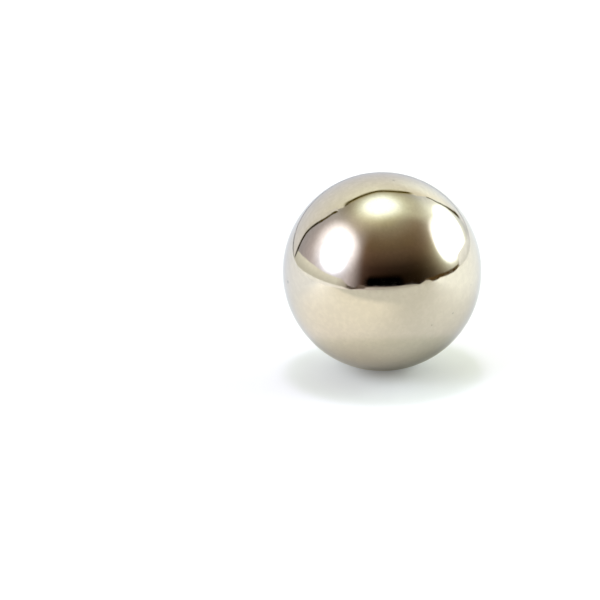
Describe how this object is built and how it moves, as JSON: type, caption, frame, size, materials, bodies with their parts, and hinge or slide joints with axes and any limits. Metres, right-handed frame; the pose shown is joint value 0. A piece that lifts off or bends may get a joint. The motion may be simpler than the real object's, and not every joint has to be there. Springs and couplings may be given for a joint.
{
  "type": "sphere magnet",
  "caption": "Plain solid ball magnet, nickel plated and mirror polished, with its two poles at opposite ends of one diameter.",
  "frame": {"origin": "centre of the ball", "axes": "+Z along the magnetic axis, from the south pole to the north pole; +X and +Y are any two square directions, because the ball is the same all round"},
  "size_m": [0.0126, 0.0126, 0.0126],
  "materials": {
    "nickel_plating": "polished"
  },
  "bodies": {
    "root": {"magnet_ball": "nickel_plating"}
  },
  "joints": []
}
